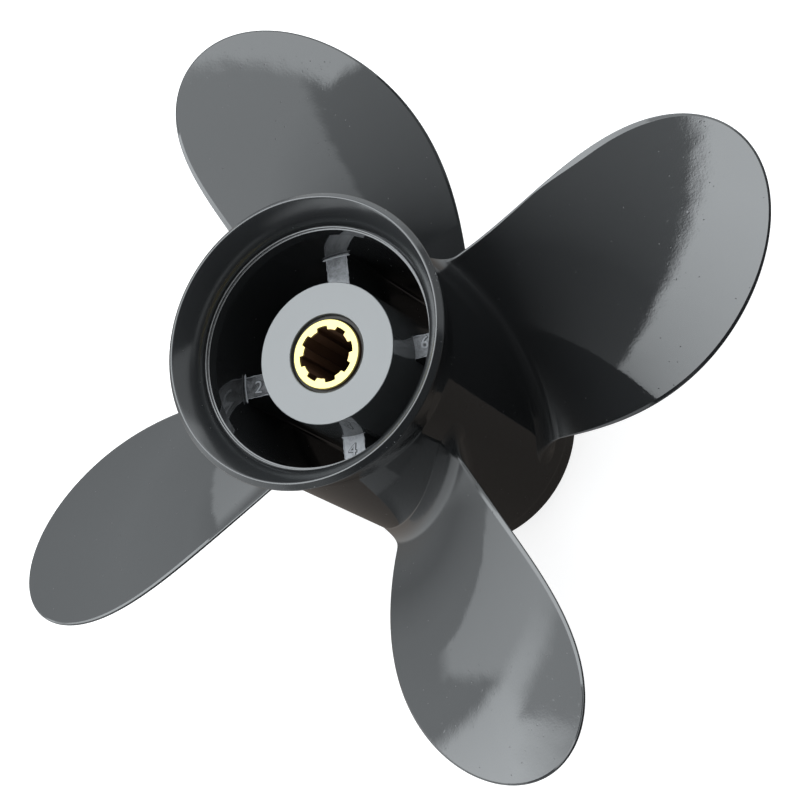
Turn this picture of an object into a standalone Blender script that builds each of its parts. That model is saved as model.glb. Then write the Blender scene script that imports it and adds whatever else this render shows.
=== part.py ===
"""Four-blade outboard propeller with a through-hub exhaust, standing on its front rim.

The hub axis is +Z, with the aft end up. The origin is the centre of the front rim.
Angles are measured from +X towards +Y, and blade 1 has its reference line at angle 0.
"""
import math

import bmesh
import bpy
from mathutils import Vector

# Driving dimensions in metres
FIT_GAP = 0.0003
ROUND_SEGMENTS = 64

HUB_LENGTH = 0.107
BARREL_RADIUS = 0.0346
BARREL_BORE_RADIUS = 0.0310
FRONT_LIP_RADIUS = 0.0324
FRONT_LIP_LENGTH = 0.0070
FRONT_SHOULDER_TOP = 0.0105
FRONT_BORE_RADIUS = 0.0300
FRONT_BORE_DEPTH = 0.0120

FLARE_START = 0.0902
FLARE_RADIUS = 0.0391
FLARE_LIP_RADIUS = 0.0013
FLARE_SEAT_HEIGHT = 0.0982
FLARE_SEAT_OUTER_RADIUS = 0.0322
FLARE_SEAT_INNER_RADIUS = 0.0314

INNER_HUB_AFT = 0.09225
INNER_HUB_FRONT = 0.0110
INNER_HUB_RADIUS = 0.0190
INNER_HUB_FRONT_RADIUS = 0.0196
INNER_HUB_EDGE = 0.0005
INNER_HUB_SHOULDER = 0.0080
INNER_HUB_HOLE_RADIUS = 0.01045
INNER_HUB_BORE_RADIUS = 0.0148

RIB_COUNT = 4
RIB_ANGLE = math.radians(-8.5)
RIB_THICKNESS = 0.0060
RIB_FRONT = 0.0140
RIB_AFT = 0.0790

BUSHING_FRONT = 0.0140
SLEEVE_RADIUS = 0.00935
SLEEVE_FRONT = 0.0080
SPLINE_COUNT = 8
SPLINE_MINOR_RADIUS = 0.0065
SPLINE_MAJOR_RADIUS = 0.0075
SPLINE_TOOTH_ANGLE = math.radians(19)
SPLINE_FLANK_ANGLE = math.radians(2.2)
SPLINE_PHASE = math.radians(17.5)

BLADE_COUNT = 4
BLADE_TIP_RADIUS = 0.1175
BLADE_ROOT_RADIUS = 0.0317
BLADE_HEIGHT = 0.04725
BLADE_PITCH = 0.263
BLADE_RAKE = (0.132, -0.54)
BLADE_SKEW = (-0.0286, 0.3778, -0.1837)
BLADE_HALF_WIDTH = (0.0195, 0.0235, 0.0189, -0.0167)
BLADE_ROOT_THICKNESS = 0.0072
BLADE_TIP_THICKNESS = 0.0024
BLADE_EDGE_THICKNESS = 0.0016
BLADE_FILLET_RADIUS = 0.0050
BLADE_ROWS = 14
FILLET_ROWS = 5
BLADE_COLUMNS = 12
EDGE_STEPS = 3
BLADE_LAST_ROW = 0.965

GREY_PAINT = (0.105, 0.11, 0.115)
HUB_FACE_GREY = (0.45, 0.48, 0.49)
RUBBER_BLACK = (0.02, 0.02, 0.02)
BRASS_YELLOW = (0.78, 0.62, 0.28)


def clear_scene():
    """Removes whatever the file already holds."""
    for thing in list(bpy.data.objects):
        bpy.data.objects.remove(thing, do_unlink=True)


def make_material(name, colour, metallic, roughness):
    """One Principled material for a sub-part."""
    material = bpy.data.materials.new(name)
    material.use_nodes = True
    shader = material.node_tree.nodes["Principled BSDF"]
    shader.inputs["Base Color"].default_value = (*colour, 1.0)
    shader.inputs["Metallic"].default_value = metallic
    shader.inputs["Roughness"].default_value = roughness
    return material


def add_part(name, shell, material):
    """Turns a closed bmesh shell into a named, smoothly shaded object."""
    bmesh.ops.recalc_face_normals(shell, faces=shell.faces)
    mesh = bpy.data.meshes.new(name)
    shell.to_mesh(mesh)
    shell.free()
    mesh.shade_smooth()
    mesh.set_sharp_from_angle(angle=math.radians(30))
    mesh.materials.append(material)
    part = bpy.data.objects.new(name, mesh)
    bpy.context.scene.collection.objects.link(part)
    return part


def on_circle(radius, angle, height):
    """A point at a radius and an angle about the hub axis."""
    return Vector((radius * math.cos(angle), radius * math.sin(angle), height))


def round_angles():
    """The angles of the vertices around every turned piece."""
    return [math.tau * step / ROUND_SEGMENTS for step in range(ROUND_SEGMENTS)]


def join_rings(shell, rings):
    """Closes a ring of rings, each one a list of the same number of vertices."""
    count = len(rings[0])
    for ring, following in zip(rings, rings[1:] + rings[:1]):
        for step in range(count):
            after = (step + 1) % count
            shell.faces.new((ring[step], ring[after], following[after], following[step]))


def turned_ring(section):
    """Turns a closed section of (radius, height) points about the hub axis."""
    shell = bmesh.new()
    rings = []
    for radius, height in section:
        rings.append([shell.verts.new(on_circle(radius, angle, height)) for angle in round_angles()])
    join_rings(shell, rings)
    return shell


def arc_points(centre, radius, start, stop, steps):
    """Points of an arc in (radius, height), from one angle to another in degrees."""
    points = []
    for step in range(steps + 1):
        angle = math.radians(start + (stop - start) * step / steps)
        points.append((centre[0] + radius * math.cos(angle), centre[1] + radius * math.sin(angle)))
    return points


def make_barrel(paint):
    """The outer hub, from its stepped front lip to the foot of the flare."""
    top = FLARE_START - FIT_GAP
    section = [
        (FRONT_LIP_RADIUS, 0.0),
        (FRONT_LIP_RADIUS, FRONT_LIP_LENGTH),
        (BARREL_RADIUS, FRONT_SHOULDER_TOP),
        (BARREL_RADIUS, top),
        (BARREL_BORE_RADIUS, top),
        (BARREL_BORE_RADIUS, FRONT_BORE_DEPTH),
        (FRONT_BORE_RADIUS, FRONT_BORE_DEPTH),
        (FRONT_BORE_RADIUS, 0.0),
    ]
    return add_part("barrel", turned_ring(section), paint)


def make_flare_ring(paint):
    """The flared aft rim, with its rounded lip and the narrow step inside."""
    lip_centre = (FLARE_RADIUS - FLARE_LIP_RADIUS, HUB_LENGTH - FLARE_LIP_RADIUS)
    section = [(BARREL_RADIUS, FLARE_START)]
    section += arc_points(lip_centre, FLARE_LIP_RADIUS, -20, 160, 8)
    section += [
        (FLARE_SEAT_OUTER_RADIUS, FLARE_SEAT_HEIGHT),
        (FLARE_SEAT_INNER_RADIUS, FLARE_SEAT_HEIGHT),
        (BARREL_BORE_RADIUS, FLARE_START),
    ]
    return add_part("flare_ring", turned_ring(section), paint)


def make_inner_hub(paint):
    """The inner hub, bored for the bushing from the front, with a shoulder left at the aft end."""
    shoulder = INNER_HUB_AFT - INNER_HUB_SHOULDER
    section = [
        (INNER_HUB_FRONT_RADIUS, INNER_HUB_FRONT),
        (INNER_HUB_RADIUS, INNER_HUB_AFT - INNER_HUB_EDGE),
        (INNER_HUB_RADIUS - INNER_HUB_EDGE, INNER_HUB_AFT),
        (INNER_HUB_HOLE_RADIUS, INNER_HUB_AFT),
        (INNER_HUB_HOLE_RADIUS, shoulder),
        (INNER_HUB_BORE_RADIUS, shoulder),
        (INNER_HUB_BORE_RADIUS, INNER_HUB_FRONT),
    ]
    return add_part("inner_hub", turned_ring(section), paint)


def arc_across(radius, thickness, angle, steps):
    """Angles, on a circle, that span a thickness on both sides of a centre angle."""
    half = math.asin(thickness / 2 / radius)
    return [angle - half + 2 * half * step / steps for step in range(steps + 1)]


def make_rib(number, paint):
    """One radial rib between the inner hub and the barrel."""
    angle = RIB_ANGLE + math.tau * (number - 1) / RIB_COUNT
    inner = INNER_HUB_FRONT_RADIUS + FIT_GAP
    outer = BARREL_BORE_RADIUS - FIT_GAP
    steps = 4
    outline = [(inner, turn) for turn in reversed(arc_across(inner, RIB_THICKNESS, angle, steps))]
    outline += [(outer, turn) for turn in arc_across(outer, RIB_THICKNESS, angle, steps)]
    shell = bmesh.new()
    front = [shell.verts.new(on_circle(radius, turn, RIB_FRONT)) for radius, turn in outline]
    aft = [shell.verts.new(on_circle(radius, turn, RIB_AFT)) for radius, turn in outline]
    shell.faces.new(front)
    shell.faces.new(aft)
    for step in range(len(outline)):
        after = (step + 1) % len(outline)
        shell.faces.new((front[step], front[after], aft[after], aft[step]))
    return add_part(f"rib_{number}", shell, paint)


def make_bushing(rubber):
    """The rubber bushing, pressed between the inner hub and the sleeve."""
    inner = SLEEVE_RADIUS + FIT_GAP
    outer = INNER_HUB_BORE_RADIUS - FIT_GAP
    top = INNER_HUB_AFT - INNER_HUB_SHOULDER - FIT_GAP
    section = [(outer, BUSHING_FRONT), (outer, top), (inner, top), (inner, BUSHING_FRONT)]
    return add_part("rubber_bushing", turned_ring(section), rubber)


def spline_outline():
    """Angles and inner radii around the splined bore."""
    period = math.tau / SPLINE_COUNT
    half_tooth = SPLINE_TOOTH_ANGLE / 2
    flank = half_tooth + SPLINE_FLANK_ANGLE
    tooth_steps = (-half_tooth, 0.0, half_tooth)
    space_steps = (flank, period / 2, period - flank)
    outline = []
    for number in range(SPLINE_COUNT):
        centre = SPLINE_PHASE + number * period
        outline += [(centre + step, SPLINE_MINOR_RADIUS) for step in tooth_steps]
        outline += [(centre + step, SPLINE_MAJOR_RADIUS) for step in space_steps]
    return outline


def make_sleeve(brass):
    """The brass sleeve with its splined bore."""
    shell = bmesh.new()
    outline = spline_outline()
    rings = []
    for height in (SLEEVE_FRONT, INNER_HUB_AFT):
        outer = [shell.verts.new(on_circle(SLEEVE_RADIUS, angle, height)) for angle, radius in outline]
        inner = [shell.verts.new(on_circle(radius, angle, height)) for angle, radius in outline]
        rings += [outer, inner] if height == SLEEVE_FRONT else [inner, outer]
    join_rings(shell, rings)
    return add_part("splined_sleeve", shell, brass)


def polynomial(factors, value):
    """The value of a polynomial whose first factor is the constant."""
    return sum(factor * value ** power for power, factor in enumerate(factors))


def blade_span(radius):
    """The share of the blade's length at a radius, 0 at the root and 1 at the tip."""
    return (radius - BLADE_ROOT_RADIUS) / (BLADE_TIP_RADIUS - BLADE_ROOT_RADIUS)


def blade_skew(span):
    """The mid-chord angle at a share of the blade's span."""
    return span * polynomial(BLADE_SKEW, span)


def blade_half_width(span):
    """Half the blade's width along the arc, seen along the hub axis."""
    return math.sqrt(max(0.0, 1.0 - span * span)) * polynomial(BLADE_HALF_WIDTH, span)


def root_fillet(radius):
    """How far the root fillet stands out from the blade at a radius."""
    below = BLADE_FILLET_RADIUS - (radius - BARREL_RADIUS)
    if below <= 0.0:
        return 0.0
    return BLADE_FILLET_RADIUS - math.sqrt(BLADE_FILLET_RADIUS ** 2 - below ** 2)


def blade_thickness(span, across):
    """Thickness at a share of the span and of the half width, without the fillet."""
    crown = BLADE_ROOT_THICKNESS + (BLADE_TIP_THICKNESS - BLADE_ROOT_THICKNESS) * span ** 0.8
    return BLADE_EDGE_THICKNESS + (crown - BLADE_EDGE_THICKNESS) * (1.0 - across * across)


def blade_point(radius, along, behind):
    """A point at a distance along the arc from mid-chord and a distance in front of the aft face."""
    lead = BLADE_PITCH / math.tau
    reach = radius - BLADE_ROOT_RADIUS
    angle = blade_skew(blade_span(radius)) + along / radius
    height = BLADE_HEIGHT + lead * angle + BLADE_RAKE[0] * reach + BLADE_RAKE[1] * reach ** 2
    slant = math.atan2(lead, radius)
    return on_circle(radius, angle + behind * math.sin(slant) / radius, height - behind * math.cos(slant))


def blade_section(radius):
    """Points around one cylindrical section: aft face, trailing edge, front face, leading edge."""
    span = blade_span(radius)
    fillet = root_fillet(radius)
    edge = BLADE_EDGE_THICKNESS / 2 + fillet
    half = max(blade_half_width(span) - BLADE_EDGE_THICKNESS / 2, 0.0)
    shares = [-math.cos(math.pi * step / BLADE_COLUMNS) for step in range(BLADE_COLUMNS + 1)]
    bends = [math.pi * step / (EDGE_STEPS + 1) for step in range(1, EDGE_STEPS + 1)]
    face = [blade_point(radius, half * share, -fillet) for share in shares]
    back = [blade_point(radius, half * share, blade_thickness(span, share) + fillet) for share in shares]
    middle = BLADE_EDGE_THICKNESS / 2
    bulges = [(edge * math.sin(bend), edge * math.cos(bend)) for bend in bends]
    trailing = [blade_point(radius, half + out, middle - rise) for out, rise in bulges]
    leading = [blade_point(radius, -half - out, middle + rise) for out, rise in bulges]
    return face + trailing + back[::-1] + leading


def blade_radii():
    """Radii of the sections: close together in the root fillet and again near the tip."""
    foot = BARREL_RADIUS + FIT_GAP
    top = BARREL_RADIUS + BLADE_FILLET_RADIUS
    radii = []
    for step in range(FILLET_ROWS):
        turn = math.pi / 2 * step / FILLET_ROWS
        radii.append(top - (top - foot) * math.cos(turn))
    for step in range(BLADE_ROWS + 1):
        turn = math.pi / 2 * BLADE_LAST_ROW * step / BLADE_ROWS
        radii.append(top + (BLADE_TIP_RADIUS - top) * math.sin(turn))
    return radii


def close_foot(shell, row):
    """Closes the foot with strips that keep to the barrel's round outside."""
    radius = BARREL_RADIUS + FIT_GAP
    face = row[:BLADE_COLUMNS + 1]
    back = row[BLADE_COLUMNS + 1 + EDGE_STEPS:2 * BLADE_COLUMNS + 2 + EDGE_STEPS][::-1]
    trailing = row[BLADE_COLUMNS + 1:BLADE_COLUMNS + 1 + EDGE_STEPS]
    leading = row[2 * BLADE_COLUMNS + 2 + EDGE_STEPS:][::-1]
    strips = [face]
    for level in range(EDGE_STEPS):
        share = (level + 1) / (EDGE_STEPS + 1)
        inner = []
        for front, rear in zip(face[1:-1], back[1:-1]):
            point = front.co.lerp(rear.co, share)
            inner.append(shell.verts.new(on_circle(radius, math.atan2(point.y, point.x), point.z)))
        strips.append([leading[level]] + inner + [trailing[level]])
    strips.append(back)
    for strip, following in zip(strips, strips[1:]):
        for step in range(BLADE_COLUMNS):
            shell.faces.new((strip[step], strip[step + 1], following[step + 1], following[step]))


def make_blade_mesh(paint):
    """One blade at angle 0, lofted through cylindrical sections."""
    shell = bmesh.new()
    rows = [[shell.verts.new(point) for point in blade_section(radius)] for radius in blade_radii()]
    count = len(rows[0])
    for row, following in zip(rows, rows[1:]):
        for step in range(count):
            after = (step + 1) % count
            shell.faces.new((row[step], row[after], following[after], following[step]))
    close_foot(shell, rows[0])
    shell.faces.new(rows[-1])
    return add_part("blade_1", shell, paint)


def make_blades(paint):
    """Like blades at even angles around the barrel, sharing one mesh."""
    blades = [make_blade_mesh(paint)]
    for number in range(2, BLADE_COUNT + 1):
        blade = bpy.data.objects.new(f"blade_{number}", blades[0].data)
        blade.rotation_euler.z = math.tau * (number - 1) / BLADE_COUNT
        bpy.context.scene.collection.objects.link(blade)
        blades.append(blade)
    return blades


def build_propeller():
    """The whole propeller, every piece a child of one empty on the hub axis."""
    clear_scene()
    paint = make_material("grey_paint", GREY_PAINT, 0.0, 0.25)
    hub_paint = make_material("hub_paint", HUB_FACE_GREY, 0.0, 0.35)
    rubber = make_material("black_rubber", RUBBER_BLACK, 0.0, 0.8)
    brass = make_material("machined_brass", BRASS_YELLOW, 1.0, 0.25)
    axis = bpy.data.objects.new("hub_axis", None)
    bpy.context.scene.collection.objects.link(axis)
    parts = [make_barrel(paint), make_flare_ring(paint), make_inner_hub(hub_paint)]
    parts += [make_rib(number, paint) for number in range(1, RIB_COUNT + 1)]
    parts += make_blades(paint)
    parts += [make_bushing(rubber), make_sleeve(brass)]
    for part in parts:
        part.parent = axis


build_propeller()
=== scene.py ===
"""Looks of a four-blade outboard propeller with a through-hub exhaust.

The hub axis is +Z with the aft end up. Angles run from +X towards +Y, and blade 1 lies at angle 0.
"""

import math
import random

import bmesh
import bpy
from mathutils import Matrix, Vector
from mathutils.bvhtree import BVHTree


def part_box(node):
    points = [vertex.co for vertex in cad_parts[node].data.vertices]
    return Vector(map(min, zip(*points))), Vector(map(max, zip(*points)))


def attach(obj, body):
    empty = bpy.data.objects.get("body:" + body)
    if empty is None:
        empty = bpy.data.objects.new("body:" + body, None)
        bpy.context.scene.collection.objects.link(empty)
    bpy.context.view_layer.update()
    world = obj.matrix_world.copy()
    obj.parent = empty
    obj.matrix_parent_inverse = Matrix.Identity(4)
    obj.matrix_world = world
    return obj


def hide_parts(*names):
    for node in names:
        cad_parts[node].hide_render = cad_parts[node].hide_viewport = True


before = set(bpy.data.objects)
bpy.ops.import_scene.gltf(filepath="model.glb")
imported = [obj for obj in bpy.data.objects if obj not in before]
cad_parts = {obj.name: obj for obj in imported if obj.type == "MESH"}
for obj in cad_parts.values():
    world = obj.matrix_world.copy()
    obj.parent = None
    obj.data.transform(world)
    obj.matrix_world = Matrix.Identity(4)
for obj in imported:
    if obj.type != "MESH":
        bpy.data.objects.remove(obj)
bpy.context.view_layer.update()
MM = 0.001

# Sizes read from the frame
HUB_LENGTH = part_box("flare_ring")[1].z
FLARE_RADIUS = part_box("flare_ring")[1].x
FLARE_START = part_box("flare_ring")[0].z
BARREL_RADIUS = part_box("barrel")[1].x
INNER_HUB_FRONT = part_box("inner_hub")[0].z
INNER_HUB_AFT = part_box("inner_hub")[1].z
RIB_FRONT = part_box("rib_1")[0].z
RIB_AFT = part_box("rib_1")[1].z
SLEEVE_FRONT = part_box("splined_sleeve")[0].z
BUSHING_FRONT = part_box("rubber_bushing")[0].z

# Meshes: steps round the hub axis and round a corner, and how close points are held or merged
TURN_STEPS = 192
CORNER_STEPS = 6
HOLD_DISTANCE = 0.12 * MM
MERGE_DISTANCE = 0.002 * MM
SHARP_ANGLE = math.radians(35)

# Hub sizes; an edge is the radius that rounds a corner
BARREL_BORE_RADIUS = 31.0 * MM
FRONT_LIP_RADIUS = 32.4 * MM
FRONT_LIP_LENGTH = 7.0 * MM
FRONT_SHOULDER_TOP = 10.5 * MM
FRONT_LIP_EDGE = 0.5 * MM
FRONT_LIP_ROOT_EDGE = 0.8 * MM
FRONT_SHOULDER_EDGE = 1.5 * MM
FRONT_BORE_RADIUS = 30.0 * MM
FRONT_BORE_DEPTH = 12.0 * MM
FRONT_BORE_EDGE = 0.4 * MM
FRONT_BORE_STEP_EDGE = 0.3 * MM
FLARE_ROOT_EDGE = 6.0 * MM
FLARE_CREST_INSET = 1.55 * MM
FLARE_CREST_EDGE = 0.4 * MM
FLARE_OUTER_DROP = 1.8 * MM
FLARE_OUTER_EDGE = 0.7 * MM
FLARE_BELL_POWER = 1.6
FLARE_BELL_STEPS = 14
FLARE_SEAT_HEIGHT = 98.2 * MM
FLARE_SEAT_OUTER_RADIUS = 32.2 * MM
FLARE_SEAT_INNER_RADIUS = 31.4 * MM
FLARE_SEAT_GROOVE_RADIUS = 31.85 * MM
FLARE_SEAT_GROOVE_DEPTH = 0.6 * MM
FLARE_SEAT_EDGE = 0.1 * MM
BARREL_BORE_TOP = 94.5 * MM
BARREL_BORE_EDGE = 1.0 * MM
INNER_HUB_RADIUS = 19.0 * MM
INNER_HUB_FRONT_RADIUS = 19.6 * MM
INNER_HUB_HOLE_RADIUS = 10.45 * MM
INNER_HUB_BORE_RADIUS = 14.8 * MM
INNER_HUB_SHOULDER = 8.0 * MM
INNER_HUB_BORE_EDGE = 0.5 * MM
INNER_HUB_FRONT_EDGE = 0.6 * MM
INNER_HUB_AFT_EDGE = 0.25 * MM
INNER_HUB_HOLE_EDGE = 0.35 * MM

# Bushing and sleeve sizes
BUSHING_RECESS = 1.2 * MM
BUSHING_FRONT_EDGE = 0.8 * MM
BUSHING_LIP_EDGE = 0.3 * MM
BUSHING_CORNER_STEPS = 4
SLEEVE_RADIUS = 9.35 * MM
SLEEVE_CHAMFER = 0.2 * MM
SLEEVE_BORE_CHAMFER = 0.12 * MM
SLEEVE_STEPS = 480
SLEEVE_SHIFT = Vector((-0.18, -0.2, 0.0)) * MM

# Rib sizes
RIB_COUNT = 4
RIB_ANGLE = math.radians(-8.5)
RIB_THICKNESS = 6.0 * MM
RIB_OFFSETS = (0.5 * MM, 0.6 * MM, -0.5 * MM, -0.7 * MM)
RIB_HUB_FILLET = 0.5 * MM
RIB_HUB_OVERLAP = 0.8 * MM
RIB_WALL_FILLET = 1.2 * MM
RIB_WALL_GAP = 0.2 * MM
RIB_WALL_OVERLAP = 0.4 * MM
RIB_FILLET_STEPS = 6
RIB_EDGE = 0.3 * MM
RIB_EDGE_SLOPE = 0.5

# Rough aft ends of the ribs: bare metal and painted shading at the hub and wall; flash and rims
RIB_SEED = 20
# Each rib end's light share is partly bare metal and partly painted shading for a tilt it lacks
RIB_BARE_AND_SHADING = ((0.35, 0.75), (0.85, 0.35), (0.25, 0.12), (0.85, 1.2))
# Flash and rims are painted light, as their highlight
RIB_EDGE_HIGHLIGHT = 1.6
FLASH_STEPS = 16
FLASH_RADIUS = 0.2 * MM
FLASH_VARIATION = (0.8, 1.15)
FLASH_END = 0.4
FLASH_OVERHANG = 1.1 * MM
FLASH_INSET = 0.45 * MM
FLASH_RISE = 0.05 * MM
RIM_RADIUS = 0.12 * MM
RIM_VARIATION = (0.4, 1.6)
RIM_INSET = 0.05 * MM
RIM_SWAY = 0.08 * MM

# Plain digits on the ribs' aft ends: the digit and its place in millimetres by rib
DIGITS = {1: ("6", 22.0, -2.2), 3: ("2", -26.4, 3.9), 4: ("4", -4.6, -22.6)}
DIGIT_SIZE = 4.8 * MM
DIGIT_RISE = 0.22 * MM
DIGIT_MOAT = 0.22 * MM
DIGIT_MOAT_RISE = 0.03 * MM
DIGIT_TURN = math.radians(-17)
# Painted highlight on the digits, and painted shade on the thin moat round them
DIGIT_HIGHLIGHT_AND_SHADE = (0.9, -1.0)

# Spline sizes
SPLINE_COUNT = 8
SPLINE_MINOR_RADIUS = 6.5 * MM
SPLINE_MAJOR_RADIUS = 7.5 * MM
SPLINE_TOOTH_SHARE = 0.42
SPLINE_FLANK_SHARE = 0.05
SPLINE_PHASE = math.radians(17.5)

# Blade sizes
BLADE_COUNT = 4
BLADE_SIZES = {
    "Tip radius": 117.5 * MM,
    "Root radius": 31.7 * MM,
    "Barrel radius": BARREL_RADIUS,
    "Mid height": 47.25 * MM,
    "Pitch": 263 * MM,
    "Root thickness": 7.2 * MM,
    "Edge thickness": 1.0 * MM,
    "Nose radius": 0.3 * MM,
    "Leading bevel": 0.9 * MM,
    "Tip bevel": 0.25 * MM,
    "Bevel slope": 0.42,
    "Fillet radius": 5.0 * MM,
}
# Each blade's own sizes: the trailing bevel, the share of the span where it starts, and the turn
BLADE_OWN_SIZES = ("Trailing bevel", "Trailing start", "Turn")
BLADE_TRAILING_BEVELS = ((1.5 * MM, 0.36), (0.75 * MM, -0.25), (0.5 * MM, -0.25), (0.72 * MM, 0.0))
# Left out of mirror images, because its tip would show as a dark streak on the next blade
UNMIRRORED_BLADE = 3
# Factors by the share of the span: skew in radians, half width in metres
BLADE_SKEW = (-0.0286, 0.3778, -0.1837)
BLADE_HALF_WIDTH = (0.0195, 0.0235, 0.0189, -0.0167)
# Factors by the distance from the root radius: rake in metres
BLADE_RAKE = (0.132, -0.54)
BLADE_CROWN_POWER = 0.8
BLADE_FOOT_DEPTH = 0.15 * MM
BLADE_FACE_FILLET_POWER = 3
BLADE_LEAST_BEVEL = 0.06 * MM
# Shares of the span over which the bevels grow from the root, and change to the tip's
BLADE_TRAILING_GROWTH = 0.25
BLADE_LEADING_GROWTH = 0.5
BLADE_TIP_SHARE = 0.2
# The grid's columns and rows, and their shares for the face, an edge, its parts and the fillet
BLADE_COLUMNS = 160
BLADE_ROWS = 110
BLADE_FACE_SHARE = 0.4
BLADE_EDGE_SHARE = 0.1
EDGE_BEVEL_SHARE = 0.4
EDGE_NOSE_SHARE = 0.35
EDGE_BACK_SHARE = 0.25
BLADE_FILLET_SHARE = 0.16
BLADE_MERGE_DISTANCE = 0.01 * MM

# Parting line beside the root of blade 1: its angles in degrees, and by the angle, factors of its
# radius and height in millimetres
PARTING_ANGLES = (29.0, -32.0)
PARTING_RADIUS = (35.9, 0.055)
PARTING_HEIGHT = (49.7, 0.59, 0.0038)
PARTING_STEPS = 60
PARTING_WIDTH = 0.35 * MM
PARTING_FLATNESS = 0.17
PARTING_VARIATION = (0.85, 1.1)
PARTING_END = 0.1
PARTING_SIDES = 16
PARTING_REACH = 1.0 * MM
PARTING_SEED = 30

# Camera, at the photograph's viewing angle
CAMERA_AIM = Vector((-0.95, -0.87, 45.9)) * MM
CAMERA_DISTANCE = 0.7573
CAMERA_AZIMUTH = math.radians(-47.37)
CAMERA_ELEVATION = math.radians(61.06)
CAMERA_ROLL = math.radians(-60.68)
FOCAL_PIXELS = 2787
IMAGE_WIDTH = 800
SENSOR_WIDTH = 36.0

# Paint: the darkest and lightest share of its colour, and a noise's size, detail and fineness
PAINT_GREY = (0.021, 0.022, 0.023)
# The inner hub's end: the same paint made lighter, a painted sheen for the overhead light it
# mirrors
HUB_SHEEN_GREY = (0.078, 0.083, 0.085)
PAINT_SHARES = (0.88, 1.12)
PAINT_IOR = 1.8
CLOUDS = (30 * MM, 3.0, 0.5)
PINHOLE_SPACING = 3.4 * MM
PINHOLE_RADIUS = 0.2 * MM
PINHOLE_STEEPNESS = 3.0
PINHOLE_COLOUR = (0.006, 0.006, 0.006, 1.0)
# Chips on the flare's lip: noise, level and steepness, then reach and softness down and sideways
CHIPS = (0.6 * MM, 2.0, 0.5)
CHIP_LEVEL = (0.68, 14.0)
CHIP_DEPTH = (2.6 * MM, 0.2 * MM)
CHIP_BAND = (0.5 * MM, 0.1 * MM)
CHIP_COLOUR = (0.4, 0.41, 0.42, 1.0)
# Roughness everywhere, and what the clouds, pinholes, flare, blade roots and wall inside add
PAINT_ROUGHNESS = 0.03
CLOUD_ROUGHNESS = 0.02
PINHOLE_ROUGHNESS = 0.5
FLARE_ROUGHNESS = 0.12
ROOT_ROUGHNESS = 0.2
WALL_ROUGHNESS = 0.05
# Softness of the borders, the start, stop and fade of satin at the roots, and gaps to hub and wall
FINE_BORDER = 0.1 * MM
BORDER = 1 * MM
WIDE_BORDER = 2 * MM
ROOT_SATIN = (0.5 * MM, 8 * MM, 14 * MM)
FLARE_SATIN_GAP = 3 * MM
WALL_SATIN_GAP = 0.2 * MM
# Waves, orange peel and hair by noise and height in millimetres, then the nibs
PAINT_WAVES = (
    ((8 * MM, 1.0, 0.5), 0.03),
    ((0.8 * MM, 2.0, 0.6), 0.004),
    ((0.45 * MM, 1.0, 0.5), 0.0015),
)
NIBS = (1.3 * MM, 1.0, 0.5)
NIB_LEVEL = (0.7, 6.0)
NIB_HEIGHT = 0.008
PINHOLE_DEPTH = 0.02
HUB_PEEL = 0.5

# Rough cast metal: noises, how much they show, and the colours of paint left and of bare metal
CAST_PATCHES = (2.2 * MM, 3.0, 0.6)
CAST_PITS = (0.5 * MM, 3.0, 0.65)
CAST_SHOWS = (1.2, 0.7)
# The light colour also serves as painted highlight and the dark one as painted shade
CAST_COLOURS = ((0.03, 0.031, 0.034, 1.0), (0.34, 0.35, 0.37, 1.0))
CAST_ROUGHNESS = (0.25, 0.3)
CAST_RELIEF = (0.16, 0.06)

# Brass: ring spacing, stains by noise, colours of clean and stained metal, and painted shade in the
# bore
RING_SPACING = 0.18 * MM
STAINS = (1.8 * MM, 4.0, 0.6)
STAIN_LEVEL = (0.4, 3.0)
STAIN_BAND = (0.1 * MM, 0.5 * MM)
BRASS_COLOURS = ((0.56, 0.46, 0.16, 1.0), (0.68, 0.58, 0.23, 1.0))
STAIN_COLOUR = (0.62, 0.38, 0.20, 1.0)
BRASS_ROUGHNESS = (0.3, 0.15)
BRASS_RELIEF = (0.004, 0.02)
# Painted shade down the splined bore: its depth and fade, dark brown colour and roughness
BORE_SHADE_DEPTH = (0.3 * MM, 0.4 * MM)
BORE_SHADE_COLOUR = (0.05, 0.018, 0.003, 1.0)
BORE_SHADE_ROUGHNESS = 0.5

# Rubber: bloom and grain by noise, colours and relief
BLOOM = (2.5 * MM, 4.0, 0.5)
RUBBER_COLOURS = ((0.014, 0.013, 0.012, 1.0), (0.045, 0.041, 0.036, 1.0))
RUBBER_ROUGHNESS = (0.55, 0.2)
RUBBER_GRAIN = (0.4 * MM, 2.0, 0.5)
RUBBER_RELIEF = 0.03 * MM

# Studio: the room is turned by an angle. A slope is how far along or across it is against the
# height, and a lean is along against across. Three numbers are a start, a growth and a most, and an
# edge is a softness.
ROOM_TURN = math.radians(46.6)
HORIZON = 0.03
MAIN_LEFT = (-1.75, 1.0, -1.0)
MAIN_RIGHT = (0.66, 0.26, 0.76)
MAIN_NEAR = (-0.155, 0.1)
MAIN_FAR = 1.35
MAIN_EDGES = {"left": 0.2, "right": 0.03, "near": 0.03, "far": 0.05}
MAIN_RADIANCE = (4.95, 2.1, 4.1)
MAIN_DROP = {"start": 0.3, "edge": 0.5, "radiance": 1.2}
SIDE_RIGHT = 7.0
SIDE_FAR = 1.1
SIDE_NEAR = (0.635, -0.62)
SIDE_EDGES = {"near": 0.04, "right": 2.0, "far": 0.3}
SIDE_RADIANCE = (1.75, 1.4, 1.65)
SIDE_LEAST = 0.6
LOW_RADIANCE = (0.95, 0.75, 1.0)
LOW_LEAST = 0.03
LOW_LEFT = (0.95, 0.8, 1.0)
LOW_LEFT_LEAST = 0.25
GLOW_RADIANCE = {"start": 0.925, "along": 0.125, "across": 1.4}
GLOW_UP = (0.1, 0.27)
GLOW_EDGE = 0.08
LEAN_LEAST = 0.05
WALL_RADIANCE = (0.76, 1.0, 1.0)
LEFT_RADIANCE = (1.42, 2.2, 2.1)
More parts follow.
